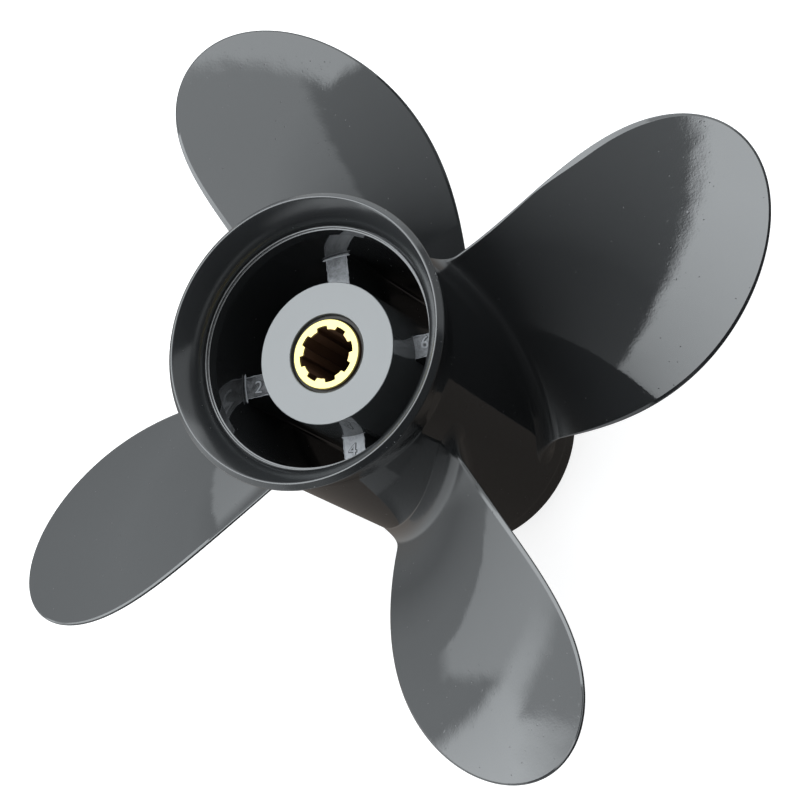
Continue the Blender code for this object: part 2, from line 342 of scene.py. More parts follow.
LEFT_LEAN = (-1.9, -0.36)
LEFT_HIGH = {"start": 0.17, "slope": 1.15}
LEFT_LOW = {"start": 0.1, "slope": 3.5}
LEFT_EDGE = 0.04
WINDOW_FADE = {"start": -0.72, "width": 0.2}
WINDOW_RIGHT = {"lean": -0.05, "edge": 0.05}
WINDOW_UP = {"start": 0.312, "edge": 0.035}
WINDOW_RADIANCE = (1.0, 6.0)
PATCH_LEFT = {"lean": -0.55, "start": 0.41, "slope": 1.1, "edge": 0.03}
PATCH_UP = {"start": 0.385, "edge": 0.04}
PATCH_RADIANCE = 1.5

# The floor as the paint mirrors it, by its depth below the horizon, and the plain floor itself
FLOOR_START = 0.02
FLOOR_RADIANCE = (0.78, -1.7)
FLOOR_LEAST = 0.36
FLOOR_BRIGHT = (1.27, -1.1)
FLOOR_BRIGHT_LEAN = {"start": 0.22, "edge": 0.06}
FLOOR_BRIGHT_DEPTH = {"start": 0.05, "lean": 0.5, "slope": 0.4, "edge": 0.02}
FLOOR_LEFT = {"start": 0.95, "slope": 0.9, "edge": 0.25, "radiance": 0.95}
FLOOR_NEAR_LEAST = 0.1
FLOOR_UNDER = {"start": 0.65, "edge": 0.5, "radiance": 0.08}
SKY_TINT = (0.95, 1.0, 1.03, 1.0)
DEEP_TINT = (1.08, 0.97, 0.88, 1.0)
DEEP = {"start": 0.6, "edge": 0.4}
WHITE = (1.0, 1.0, 1.0, 1.0)
BACKDROP_RADIANCE = 0.95
FLOOR_SIZE = 8.0
FLOOR_COLOUR = (0.4, 0.4, 0.4, 1.0)
FLOOR_ROUGHNESS = 0.9
FLOOR_GLOW = 0.84


class Wire:
    """A socket that can be used in Python expressions; each operator adds a Math node."""

    def __init__(self, tree, socket):
        self.tree = tree
        self.socket = socket

    def math(self, operation, *others):
        node = self.tree.nodes.new("ShaderNodeMath")
        node.operation = operation
        for slot, value in zip(node.inputs, (self, *others)):
            plug(self.tree, slot, value)
        return Wire(self.tree, node.outputs[0])

    def __add__(self, other):
        return self.math("ADD", other)

    def __radd__(self, other):
        return self.math("ADD", other)

    def __sub__(self, other):
        return self.math("SUBTRACT", other)

    def __rsub__(self, other):
        return (self * -1.0) + other

    def __mul__(self, other):
        return self.math("MULTIPLY", other)

    def __rmul__(self, other):
        return self.math("MULTIPLY", other)

    def __truediv__(self, other):
        return self.math("DIVIDE", other)

    def __rtruediv__(self, other):
        return self.math("POWER", -1.0) * other

    def __pow__(self, other):
        return self.math("POWER", other)

    def __neg__(self):
        return self * -1.0

    def sin(self):
        return self.math("SINE")

    def cos(self):
        return self.math("COSINE")

    def sqrt(self):
        return self.math("SQRT")

    def at_least(self, other):
        return self.math("MAXIMUM", other)

    def at_most(self, other):
        return self.math("MINIMUM", other)

    def above(self, other):
        return self.math("GREATER_THAN", other)

    def clamp(self):
        return self.at_least(0.0).at_most(1.0)


def plug(tree, slot, value):
    """Links a wire to a socket, or sets the socket's value."""
    if isinstance(value, Wire):
        tree.links.new(value.socket, slot)
    else:
        slot.default_value = value


class Tree:
    """A node tree and the one method that adds its nodes."""

    def __init__(self, tree):
        self.tree = tree

    def feed(self, node, values):
        """Links or sets a node's sockets."""
        for name, value in values.items():
            plug(self.tree, node.inputs[name], value)

    def node(self, kind, settings=None, values=None, output=0):
        """Adds a node with its settings first, then its sockets, and gives one output as a wire."""
        node = self.tree.nodes.new(kind)
        for name, value in (settings or {}).items():
            setattr(node, name, value)
        self.feed(node, values or {})
        return Wire(self.tree, node.outputs[output])

    def axes(self, vector):
        """The X, Y and Z of a vector."""
        parts = self.node("ShaderNodeSeparateXYZ", None, {"Vector": vector}).socket.node
        return [Wire(self.tree, output) for output in parts.outputs]

    def mix(self, share, low, high):
        """Mixes two colours by a share."""
        settings = {"data_type": "RGBA", "blend_type": "MIX"}
        return self.node("ShaderNodeMix", settings, {0: share, 6: low, 7: high}, 2)


def polynomial(factors, value):
    """The value of a polynomial whose first factor is the constant."""
    total = factors[-1]
    for factor in reversed(factors[:-1]):
        total = value * total + factor
    return total


def ease(share):
    """A share from 0 to 1 that starts and stops gently."""
    return 0.5 - (share * math.pi).cos() * 0.5


def ramp(value, start, growth, most):
    """A start that grows with a value, up to a most."""
    return (value * growth + start).at_most(most)


def above(value, low, softness):
    """0 below a level and 1 above it, with an edge of a given softness."""
    return ((value - low) / softness + 0.5).clamp()


def between(value, limits, softness):
    """1 inside a range and 0 outside it, with edges of a given softness."""
    return above(value, limits[0], softness) * above(limits[1], value, softness)


def laid_over(under, mask, value):
    """A value where the mask is 1 and the one under it where the mask is 0."""
    return under + (value - under) * mask


# Geometry tools


def on_circle(radius, angle, height):
    """A point at a radius and an angle about the hub axis."""
    return Vector((radius * math.cos(angle), radius * math.sin(angle), height))


def rounded(corners, steps):
    """Replaces each corner (radius, height, edge) of a section by an arc held by close points."""
    points = []
    count = len(corners)
    for index, (radius, height, edge) in enumerate(corners):
        corner = Vector((radius, height))
        if edge == 0:
            points.append(corner)
            continue
        before = Vector(corners[index - 1][:2]) - corner
        after = Vector(corners[(index + 1) % count][:2]) - corner
        half_angle = before.angle(after) / 2
        reach = edge / math.tan(half_angle)
        hold = reach + HOLD_DISTANCE
        middle = (before.normalized() + after.normalized()).normalized()
        centre = corner + middle * (edge / math.sin(half_angle))
        start = corner + before.normalized() * reach - centre
        stop = corner + after.normalized() * reach - centre
        swing = start.angle_signed(stop)
        if before.length > 2 * hold:
            points.append(corner + before.normalized() * hold)
        for step in range(steps + 1):
            turn = Matrix.Rotation(-swing * step / steps, 2)
            points.append(centre + turn @ start)
        if after.length > 2 * hold:
            points.append(corner + after.normalized() * hold)
    return points


def add_object(name, data):
    """Adds an object to the scene."""
    added = bpy.data.objects.new(name, data)
    bpy.context.scene.collection.objects.link(added)
    return added


def plain_mesh(carrier):
    """The mesh that an object's modifiers or text make; the object is removed."""
    ready = carrier.evaluated_get(bpy.context.evaluated_depsgraph_get())
    mesh = bpy.data.meshes.new_from_object(ready)
    bpy.data.objects.remove(carrier)
    return mesh


def join_rings(shell, rings):
    """Adds the faces between each closed ring of vertices and the next."""
    for ring, following in zip(rings, rings[1:]):
        for index in range(len(ring)):
            after = (index + 1) % len(ring)
            shell.faces.new((ring[index], ring[after], following[after], following[index]))


def add_bead(shell, path, radii, sides=8, normals=None, flatness=1.0):
    """Adds a closed bead along a path with a radius at each point, flattened along any normals."""
    turns = [math.tau * step / sides for step in range(sides)]
    rings = []
    for index, (point, radius) in enumerate(zip(path, radii)):
        ahead = path[min(index + 1, len(path) - 1)] - path[max(index - 1, 0)]
        side = ahead.cross(normals[index] if normals else Vector((0.0, 0.0, 1.0))).normalized()
        rise = side.cross(ahead).normalized() * (radius * flatness)
        ring = [side * (radius * math.cos(turn)) + rise * math.sin(turn) for turn in turns]
        rings.append([shell.verts.new(point + offset) for offset in ring])
    join_rings(shell, rings)
    shell.faces.new(rings[0])
    shell.faces.new(rings[-1])


def finish_mesh(name, shell, materials):
    """Makes an object of a closed bmesh shell, smooth but for its sharp edges."""
    bmesh.ops.remove_doubles(shell, verts=shell.verts, dist=MERGE_DISTANCE)
    bmesh.ops.recalc_face_normals(shell, faces=shell.faces)
    mesh = bpy.data.meshes.new(name)
    shell.to_mesh(mesh)
    shell.free()
    mesh.shade_smooth()
    mesh.set_sharp_from_angle(angle=SHARP_ANGLE)
    for material in materials:
        mesh.materials.append(material)
    return add_object(name, mesh)


def turned(name, corners, material, steps=CORNER_STEPS):
    """A ring turned about the hub axis from a closed section."""
    shell = bmesh.new()
    angles = [math.tau * index / TURN_STEPS for index in range(TURN_STEPS)]
    rings = []
    for point in rounded(corners, steps):
        rings.append([shell.verts.new(on_circle(point.x, angle, point.y)) for angle in angles])
    join_rings(shell, [*rings, rings[0]])
    return finish_mesh(name, shell, [material])


# Materials


def new_material(name):
    """An empty material, its tree and its Principled shader."""
    material = bpy.data.materials.new(name)
    material.use_nodes = True
    tree = Tree(material.node_tree)
    shader = material.node_tree.nodes["Principled BSDF"]
    return material, tree, shader


def object_place(tree):
    """The place on the piece in metres."""
    return tree.node("ShaderNodeTexCoord", output="Object")


def radius_and_height(tree, place):
    """The distance from the hub axis and the height of a place on the piece."""
    along, across, height = tree.axes(place)
    return (along * along + across * across).sqrt(), height


def grain(tree, place, noise):
    """Even noise, from the size of its features in metres, its detail and its fineness."""
    size, detail, fineness = noise
    values = {"Vector": place, "Scale": 1.0 / size, "Detail": detail, "Roughness": fineness}
    return tree.node("ShaderNodeTexNoise", {"noise_dimensions": "3D"}, values)


def peaks(noise, level):
    """The peaks of a noise above a level, rising to 1 at a given steepness."""
    return ((noise - level[0]) * level[1]).clamp()


def bump(tree, height, distance=MM):
    """A Bump node over a height, as a share of a distance in metres."""
    return tree.node("ShaderNodeBump", None, {"Height": height, "Distance": distance})


def pinholes(tree, place):
    """1 in sparse round pinholes, and 0 elsewhere."""
    values = {"Vector": place, "Scale": 1.0 / PINHOLE_SPACING, "Randomness": 1.0}
    distance = tree.node("ShaderNodeTexVoronoi", {"feature": "F1"}, values, "Distance")
    reach = PINHOLE_RADIUS / PINHOLE_SPACING
    return ((reach - distance) * (PINHOLE_STEEPNESS / reach)).clamp()


def lip_chips(tree, place, radius, height):
    """1 in small chips along the outer edge of the flare's lip, and 0 elsewhere."""
    depth, edge = CHIP_DEPTH
    chips = peaks(grain(tree, place, CHIPS), CHIP_LEVEL) * above(height, HUB_LENGTH - depth, edge)
    reach, edge = CHIP_BAND
    return chips * between(radius, (FLARE_RADIUS - reach, FLARE_RADIUS + reach), edge)


def satin(radius, height):
    """What the roughness gains in the flare, on the roots of the blades and on the wall inside."""
    flare = between(radius, (INNER_HUB_FRONT_RADIUS + FLARE_SATIN_GAP, FLARE_RADIUS), BORDER)
    flare = flare * above(height, FLARE_SEAT_HEIGHT, WIDE_BORDER)
    start, stop, fade = ROOT_SATIN
    roots = above(radius, BARREL_RADIUS + start, BORDER) * above(BARREL_RADIUS + stop, radius, fade)
    roots = roots * above(FLARE_START, height, WIDE_BORDER)
    wall = above(BARREL_BORE_RADIUS + WALL_SATIN_GAP, radius, FINE_BORDER)
    wall = wall * above(BARREL_BORE_TOP, height, BORDER)
    return flare * FLARE_ROUGHNESS + roots * ROOT_ROUGHNESS + wall * WALL_ROUGHNESS


def gloss_paint(name, colour, peel=1.0, pinhole_share=1.0):
    """Gloss paint with orange peel, dust nibs and pinholes, satin in the flare and on the roots."""
    material, tree, shader = new_material(name)
    place = object_place(tree)
    radius, height = radius_and_height(tree, place)
    cloud = grain(tree, place, CLOUDS)
    holes = pinholes(tree, place) * pinhole_share
    dark, light = [(*[share * part for part in colour], 1.0) for share in PAINT_SHARES]
    tone = tree.mix(cloud, dark, light)
    tone = tree.mix(holes, tone, PINHOLE_COLOUR)
    tone = tree.mix(lip_chips(tree, place, radius, height), tone, CHIP_COLOUR)
    roughness = cloud * CLOUD_ROUGHNESS + PAINT_ROUGHNESS + satin(radius, height)
    relief = peaks(grain(tree, place, NIBS), NIB_LEVEL) * NIB_HEIGHT
    for noise, rise in PAINT_WAVES:
        relief = relief + grain(tree, place, noise) * rise
    tree.feed(shader, {
        "Base Color": tone,
        "Roughness": roughness + holes * PINHOLE_ROUGHNESS,
        "Normal": bump(tree, relief * peel - holes * PINHOLE_DEPTH),
        "IOR": PAINT_IOR,
    })
    return material


def rough_cast(name):
    """The broken, thinly painted ends of the ribs, lighter where the mesh says so: bare metal and
    painted light.
    """
    material, tree, shader = new_material(name)
    place = object_place(tree)
    patches = grain(tree, place, CAST_PATCHES)
    pits = grain(tree, place, CAST_PITS)
    bare_and_painted_light = tree.node("ShaderNodeAttribute", {"attribute_name": "bare_and_painted_light"}, None, "Fac")
    # How light the end is: bare metal, painted shading and painted highlight, broken up by noise
    shine = (bare_and_painted_light + (patches - 0.5) * CAST_SHOWS[0] + (pits - 0.5) * CAST_SHOWS[1]).clamp()
    tree.feed(shader, {
        "Base Color": tree.mix(shine, *CAST_COLOURS),
        "Roughness": pits * CAST_ROUGHNESS[1] + CAST_ROUGHNESS[0],
        "Normal": bump(tree, patches * CAST_RELIEF[0] + pits * CAST_RELIEF[1]),
    })
    return material


def turned_brass(name):
    """Bright brass with turning rings and stains on its end, and painted dark brown shade in the
    bore.
    """
    material, tree, shader = new_material(name)
    place = object_place(tree)
    radius, height = radius_and_height(tree, place)
    rings = (radius * (math.tau / RING_SPACING)).sin() * 0.5 + 0.5
    stain = grain(tree, place, STAINS)
    gap, fade = STAIN_BAND
    inward = ((SPLINE_MAJOR_RADIUS - gap - radius) / fade).clamp()
    # Painted shade: darker and duller deeper down the bore
    gap, fade = BORE_SHADE_DEPTH
    bore_shade = ((INNER_HUB_AFT - gap - height) / fade).clamp()
    tone = tree.mix(stain, *BRASS_COLOURS)
    tone = tree.mix(peaks(stain, STAIN_LEVEL) * inward, tone, STAIN_COLOUR)
    tree.feed(shader, {
        "Base Color": tree.mix(bore_shade, tone, BORE_SHADE_COLOUR),
        "Metallic": 1.0 - bore_shade,
        "Roughness": stain * BRASS_ROUGHNESS[1] + BRASS_ROUGHNESS[0] + bore_shade * BORE_SHADE_ROUGHNESS,
        "Normal": bump(tree, rings * BRASS_RELIEF[0] + stain * BRASS_RELIEF[1]),
    })
    return material


def moulded_rubber(name):
    """Matt black rubber with a faint brownish bloom."""
    material, tree, shader = new_material(name)
    place = object_place(tree)
    bloom = grain(tree, place, BLOOM)
    tree.feed(shader, {
        "Base Color": tree.mix(bloom, *RUBBER_COLOURS),
        "Roughness": bloom * RUBBER_ROUGHNESS[1] + RUBBER_ROUGHNESS[0],
        "Normal": bump(tree, grain(tree, place, RUBBER_GRAIN), RUBBER_RELIEF),
    })
    return material


# Blades


def blade_tree(paint):
    """Geometry Nodes for one blade: a grid wrapped round cylindrical sections, from foot to tip."""
    group = bpy.data.node_groups.new("blade_shape", "GeometryNodeTree")
    group.interface.new_socket("Geometry", in_out="OUTPUT", socket_type="NodeSocketGeometry")
    names = [*BLADE_SIZES, *BLADE_OWN_SIZES]
    for name in names:
        group.interface.new_socket(name, in_out="INPUT", socket_type="NodeSocketFloat")
    tree = Tree(group)
    given = group.nodes.new("NodeGroupInput")
    size = {name: Wire(group, given.outputs[name]) for name in names}
    shape = tree.node("GeometryNodeMeshGrid", None, {
        "Size X": 1.0,
        "Size Y": 1.0,
        "Vertices X": BLADE_COLUMNS + 1,
        "Vertices Y": BLADE_ROWS + 1,
    })
    across, along, level = tree.axes(tree.node("GeometryNodeInputPosition"))
    place = blade_place(tree, size, around=across + 0.5, up=along + 0.5)
    for kind, values in (
        ("SetPosition", {"Position": place}),
        ("MergeByDistance", {"Distance": BLADE_MERGE_DISTANCE}),
        ("SetShadeSmooth", {}),
        ("RealizeInstances", {}),
        ("SetMaterial", {"Material": paint}),
    ):
        shape = tree.node(f"GeometryNode{kind}", None, {"Geometry": shape, **values})
    tree.feed(group.nodes.new("NodeGroupOutput"), {"Geometry": shape})
    return group


def edge_walk(turn):
    """The bevel, nose and return of an edge, from a share of the way round it from face to back."""
    bevel = ease((turn / EDGE_BEVEL_SHARE).clamp())
    nose = ((turn - EDGE_BEVEL_SHARE) / EDGE_NOSE_SHARE).clamp() * math.pi
    back = ease(((turn - (EDGE_BEVEL_SHARE + EDGE_NOSE_SHARE)) / EDGE_BACK_SHARE).clamp())
    return bevel, nose, back


def blade_place(tree, size, around, up):
    """Where a grid point lies on the blade, from its share around the section and up the blade."""
    face = (around / BLADE_FACE_SHARE).clamp()
    back = ((around - 0.5) / BLADE_FACE_SHARE).clamp()
    trailing = ((around - BLADE_FACE_SHARE) / BLADE_EDGE_SHARE).clamp()
    leading = 1.0 - ((around - 0.5 - BLADE_FACE_SHARE) / BLADE_EDGE_SHARE).clamp()
    across = -((face - back) * math.pi).cos()

    first_row = 1.0 / BLADE_ROWS
    open_row = up.above(0.5 * first_row)
    rise = ((up - first_row) / (1.0 - first_row)).clamp()
    foot_rise = (rise / BLADE_FILLET_SHARE).clamp()
    blade_rise = ((rise - BLADE_FILLET_SHARE) / (1.0 - BLADE_FILLET_SHARE)).clamp()
    tip = size["Tip radius"] - size["Tip bevel"] - size["Nose radius"]
    fillet_top = size["Barrel radius"] + size["Fillet radius"]
    foot = size["Barrel radius"] - BLADE_FOOT_DEPTH
    fillet_reach = fillet_top - (fillet_top - foot) * (foot_rise * (math.pi / 2)).cos()
    radius = fillet_reach + (tip - fillet_top) * (blade_rise * (math.pi / 2)).sin()
    span = ((radius - size["Root radius"]) / (tip - size["Root radius"])).at_most(1.0)
    taper = (1.0 - span * span).at_least(0.0).sqrt()
    below = ((fillet_top - radius) / size["Fillet radius"]).clamp()
    fillet = (1.0 - (1.0 - below ** 2).at_least(0.0).sqrt()) * size["Fillet radius"]
    face_fillet = below ** BLADE_FACE_FILLET_POWER * size["Fillet radius"]

    near_tip = ((span - (1.0 - BLADE_TIP_SHARE)) / BLADE_TIP_SHARE).clamp()
    trailing_share = ease(((span - size["Trailing start"]) / BLADE_TRAILING_GROWTH).clamp())
    leading_share = ease((span / BLADE_LEADING_GROWTH).clamp())
    trailing_bevel = laid_over(size["Trailing bevel"] * trailing_share, near_tip, size["Tip bevel"])
    trailing_bevel = trailing_bevel.at_least(BLADE_LEAST_BEVEL)
    leading_bevel = laid_over(size["Leading bevel"] * leading_share, near_tip, size["Tip bevel"])
    leading_bevel = leading_bevel.at_least(BLADE_LEAST_BEVEL)
    inset = laid_over(leading_bevel, across * 0.5 + 0.5, trailing_bevel) + size["Nose radius"]
    outward = 0.0
    round_share = 0.0
    through = 1.0
    half_round = 1.0
    for turn, bevel_width in ((trailing, trailing_bevel), (leading, leading_bevel)):
        bevel, nose, flat = edge_walk(turn)
        outward = outward + bevel_width * (bevel - flat) + size["Nose radius"] * nose.sin()
        round_share = round_share + (turn * math.pi).sin()
        drop = bevel_width * size["Bevel slope"] / size["Edge thickness"]
        through = through * (drop * bevel + (1.0 - drop) * (0.5 - nose.cos() * 0.5))
        half_round = half_round * ease(turn)
    outward = outward * open_row
    round_share = round_share * open_row
    through = (through - 0.5) * open_row + 0.5
    half_round = (half_round - 0.5) * open_row + 0.5

    half_width = taper * (polynomial(BLADE_HALF_WIDTH, span) - inset + outward)
    half_width = half_width + round_share * fillet
    crown = (size["Root thickness"] - size["Edge thickness"]) * (1.0 - span) ** BLADE_CROWN_POWER
    crown = crown * (1.0 - across * across)
    depth = through * (crown + size["Edge thickness"])
    depth = depth + (half_round * 2.0 - 1.0) * laid_over(face_fillet, half_round, fillet)
    tip_reach = (size["Tip bevel"] + size["Nose radius"]) / inset
    radius = radius + outward * tip_reach * span
    lead = size["Pitch"] / math.tau
    angle = span * polynomial(BLADE_SKEW, span) + across * half_width / radius
    reach = radius - size["Root radius"]
    slant_length = (radius * radius + lead * lead).sqrt()
    height = size["Mid height"] + lead * angle + reach * (reach * BLADE_RAKE[1] + BLADE_RAKE[0])
    height = height - depth * radius / slant_length
    angle = angle + depth * lead / slant_length / radius + size["Turn"]
    place = {"X": radius * angle.cos(), "Y": radius * angle.sin(), "Z": height}
    return tree.node("ShaderNodeCombineXYZ", None, place)


def add_parting_line(shell):
    """Adds the raised parting line beside the root of blade 1, on the blade or on the barrel."""
    surface = BVHTree.FromBMesh(shell)
    chance = random.Random(PARTING_SEED)
    start, stop = PARTING_ANGLES
    path, normals = [], []
    for step in range(PARTING_STEPS + 1):
        degrees = start + (stop - start) * step / PARTING_STEPS
        radius = max(polynomial(PARTING_RADIUS, degrees) * MM, BARREL_RADIUS)
        place = on_circle(radius, math.radians(degrees), polynomial(PARTING_HEIGHT, degrees) * MM)
        nearest, outward, face, distance = surface.find_nearest(place)
        if distance < PARTING_REACH:
            place = nearest
            if outward.dot(place.xy.to_3d()) <= 0.0 and outward.z <= 0.0:
                outward = -outward
        else:
            outward = place.xy.to_3d().normalized()
        normals.append(outward)
        path.append(place - outward * (PARTING_WIDTH * PARTING_FLATNESS / 2))
    plain_faces = len(shell.faces)
    radii = [PARTING_WIDTH * chance.uniform(*PARTING_VARIATION) for place in path]
    radii[0] = radii[-1] = PARTING_WIDTH * PARTING_END
    add_bead(shell, path, radii, PARTING_SIDES, normals, PARTING_FLATNESS)
    shell.faces.ensure_lookup_table()
    for face in shell.faces[plain_faces:]:
        face.smooth = True
        face.material_index = shell.faces[0].material_index


def make_blade(number, group):
    """One blade as a plain mesh."""
    name = f"blade_{number}"
    carrier = add_object(f"{name}_carrier", bpy.data.meshes.new(f"{name}_carrier"))
    nodes = carrier.modifiers.new("blade_shape", "NODES")
    nodes.node_group = group
    own_sizes = (*BLADE_TRAILING_BEVELS[number - 1], math.tau * (number - 1) / BLADE_COUNT)
    values = {**BLADE_SIZES, **dict(zip(BLADE_OWN_SIZES, own_sizes))}
    for item in group.interface.items_tree:
        if item.in_out == "INPUT":
            nodes[item.identifier] = values[item.name]
    mesh = plain_mesh(carrier)
    mesh.name = name
    shell = bmesh.new()
    shell.from_mesh(mesh)
    if number == 1:
        add_parting_line(shell)
    bmesh.ops.recalc_face_normals(shell, faces=shell.faces)
    shell.to_mesh(mesh)
    shell.free()
    blade = add_object(name, mesh)
    blade.visible_glossy = number != UNMIRRORED_BLADE
    return blade


# Hub


def flare_bell():
    """Corners down the bell inside the flare, from the lip to the seat."""
    widening = FLARE_RADIUS - FLARE_CREST_INSET - FLARE_SEAT_OUTER_RADIUS
    corners = []
    for step in range(1, FLARE_BELL_STEPS):
        share = 1.0 - step / FLARE_BELL_STEPS
        radius = FLARE_SEAT_OUTER_RADIUS + widening * share ** FLARE_BELL_POWER
        corners.append((radius, FLARE_SEAT_HEIGHT + (HUB_LENGTH - FLARE_SEAT_HEIGHT) * share, 0.0))
    return corners


def make_hub_shell(paint):
    """The barrel and its flared aft rim, as the one casting that they are."""
    groove = FLARE_SEAT_HEIGHT - FLARE_SEAT_GROOVE_DEPTH
    corners = [
        (FRONT_BORE_RADIUS, 0.0, FRONT_BORE_EDGE),
        (FRONT_LIP_RADIUS, 0.0, FRONT_LIP_EDGE),
        (FRONT_LIP_RADIUS, FRONT_LIP_LENGTH, FRONT_LIP_ROOT_EDGE),
        (BARREL_RADIUS, FRONT_SHOULDER_TOP, FRONT_SHOULDER_EDGE),
        (BARREL_RADIUS, FLARE_START, FLARE_ROOT_EDGE),
        (FLARE_RADIUS, HUB_LENGTH - FLARE_OUTER_DROP, FLARE_OUTER_EDGE),
        (FLARE_RADIUS - FLARE_CREST_INSET, HUB_LENGTH, FLARE_CREST_EDGE),
    ]
    corners += flare_bell()
    corners += [
        (FLARE_SEAT_OUTER_RADIUS, FLARE_SEAT_HEIGHT, FLARE_SEAT_EDGE),
        (FLARE_SEAT_GROOVE_RADIUS, FLARE_SEAT_HEIGHT, FLARE_SEAT_EDGE),
        (FLARE_SEAT_GROOVE_RADIUS, groove, FLARE_SEAT_EDGE),
        (FLARE_SEAT_INNER_RADIUS, groove, FLARE_SEAT_EDGE),
        (BARREL_BORE_RADIUS, BARREL_BORE_TOP, BARREL_BORE_EDGE),
        (BARREL_BORE_RADIUS, FRONT_BORE_DEPTH, FRONT_BORE_STEP_EDGE),
        (FRONT_BORE_RADIUS, FRONT_BORE_DEPTH, FRONT_BORE_STEP_EDGE),
    ]
    return turned("hub_shell", corners, paint)


def make_inner_hub(paint):
    """The inner hub with its flat aft face, bored from the front up to a shoulder."""
    shoulder = INNER_HUB_AFT - INNER_HUB_SHOULDER
    corners = [
        (INNER_HUB_BORE_RADIUS, INNER_HUB_FRONT, INNER_HUB_BORE_EDGE),
        (INNER_HUB_FRONT_RADIUS, INNER_HUB_FRONT, INNER_HUB_FRONT_EDGE),
        (INNER_HUB_RADIUS, INNER_HUB_AFT, INNER_HUB_AFT_EDGE),
        (INNER_HUB_HOLE_RADIUS, INNER_HUB_AFT, INNER_HUB_HOLE_EDGE),
        (INNER_HUB_HOLE_RADIUS, shoulder, 0.0),
        (INNER_HUB_BORE_RADIUS, shoulder, 0.0),
    ]
    return turned("inner_hub_casting", corners, paint)


def rib_outline():
    """One side of a rib, from the inner hub to the barrel, with a fillet at each end."""
    half = RIB_THICKNESS / 2
    wall = BARREL_BORE_RADIUS - RIB_WALL_GAP
    turns = [math.pi / 2 * step / RIB_FILLET_STEPS for step in range(RIB_FILLET_STEPS + 1)]
    points = [(INNER_HUB_FRONT_RADIUS - RIB_HUB_OVERLAP, half + RIB_HUB_FILLET)]
    for turn in turns:
        reach = INNER_HUB_RADIUS + RIB_HUB_FILLET * (1.0 - math.cos(turn))
        points.append((reach, half + RIB_HUB_FILLET * (1.0 - math.sin(turn))))
    for turn in reversed(turns):
        reach = wall - RIB_WALL_FILLET * (1.0 - math.cos(turn))
        points.append((reach, half + RIB_WALL_FILLET * (1.0 - math.sin(turn))))
    points.append((BARREL_BORE_RADIUS + RIB_WALL_OVERLAP, half + RIB_WALL_FILLET))
    return points


def rib_prism(side, turn):
    """A rib as a closed shell whose aft end has the second material."""
    shell = bmesh.new()
    levels = [(RIB_FRONT, 0.0), (RIB_AFT - RIB_EDGE, 0.0), (RIB_AFT, RIB_EDGE * RIB_EDGE_SLOPE)]
    rings = []
    for level, inset in levels:
        left = [shell.verts.new(turn @ Vector((x, half - inset, level))) for x, half in side]
        right = [shell.verts.new(turn @ Vector((x, inset - half, level))) for x, half in side]
        rings.append((left, right))
    for (left, right), (left_up, right_up) in zip(rings, rings[1:]):
        for index in range(len(side) - 1):
            shell.faces.new((left[index], left[index + 1], left_up[index + 1], left_up[index]))
            shell.faces.new((right[index], right[index + 1], right_up[index + 1], right_up[index]))
        shell.faces.new((left[0], right[0], right_up[0], left_up[0]))
        shell.faces.new((left[-1], right[-1], right_up[-1], left_up[-1]))
    for material_index, (left, right) in enumerate((rings[0], rings[-1])):
        for index in range(len(side) - 1):
            face = shell.faces.new((left[index], left[index + 1], right[index + 1], right[index]))
            face.material_index = material_index
    return shell


def add_rib_flash(shell, number, turn):
    """Adds the raised flash along the wall and the thin rims along the sides of a rib's aft end."""
    chance = random.Random(RIB_SEED + number)
    half_angle = (RIB_THICKNESS / 2 + FLASH_OVERHANG) / BARREL_BORE_RADIUS
    wall = BARREL_BORE_RADIUS - FLASH_INSET
    shares = [step / FLASH_STEPS for step in range(FLASH_STEPS + 1)]
    angles = [half_angle * (2.0 * share - 1.0) for share in shares]
    path = [turn @ on_circle(wall, angle, RIB_AFT + FLASH_RISE) for angle in angles]
    radii = [FLASH_RADIUS * chance.uniform(*FLASH_VARIATION) for share in shares]
    radii[0] = radii[-1] = FLASH_RADIUS * FLASH_END
    add_bead(shell, path, radii)
    reaches = [INNER_HUB_RADIUS + (wall - INNER_HUB_RADIUS) * share for share in shares]
    half = RIB_THICKNESS / 2 - RIM_INSET
    for side in (-1, 1):
        sway = [side * (half + chance.uniform(-RIM_SWAY, RIM_SWAY)) for share in shares]
        path = [turn @ Vector((reach, offset, RIB_AFT)) for reach, offset in zip(reaches, sway)]
        add_bead(shell, path, [RIM_RADIUS * chance.uniform(*RIM_VARIATION) for share in shares])


def add_digit(shell, number, rise, swelling):
    """Adds a plain digit, raised and swollen by the given amounts, to a rib's aft end."""
    digit, x, y = DIGITS[number]
    curve = bpy.data.curves.new("rib_digit", "FONT")
    curve.body = digit
    curve.size = DIGIT_SIZE
    curve.align_x = "CENTER"
    curve.align_y = "CENTER"
    curve.extrude = rise
    curve.offset = swelling
    mesh = plain_mesh(add_object("rib_digit", curve))
    place = Matrix.Translation((x * MM, y * MM, RIB_AFT))
    mesh.transform(place @ Matrix.Rotation(DIGIT_TURN, 4, "Z"))
    shell.from_mesh(mesh)
    bpy.data.meshes.remove(mesh)


def set_bare_and_painted_light(shell, first, at_hub, growth=0.0):
    """Sets the share of bare metal and painted light and shade from a given vertex on, growing from
    the hub.
    """
    layer = shell.verts.layers.float["bare_and_painted_light"]
    shell.verts.ensure_lookup_table()
    for vert in shell.verts[first:]:
        vert[layer] = at_hub + growth * (vert.co.xy.length - INNER_HUB_RADIUS)


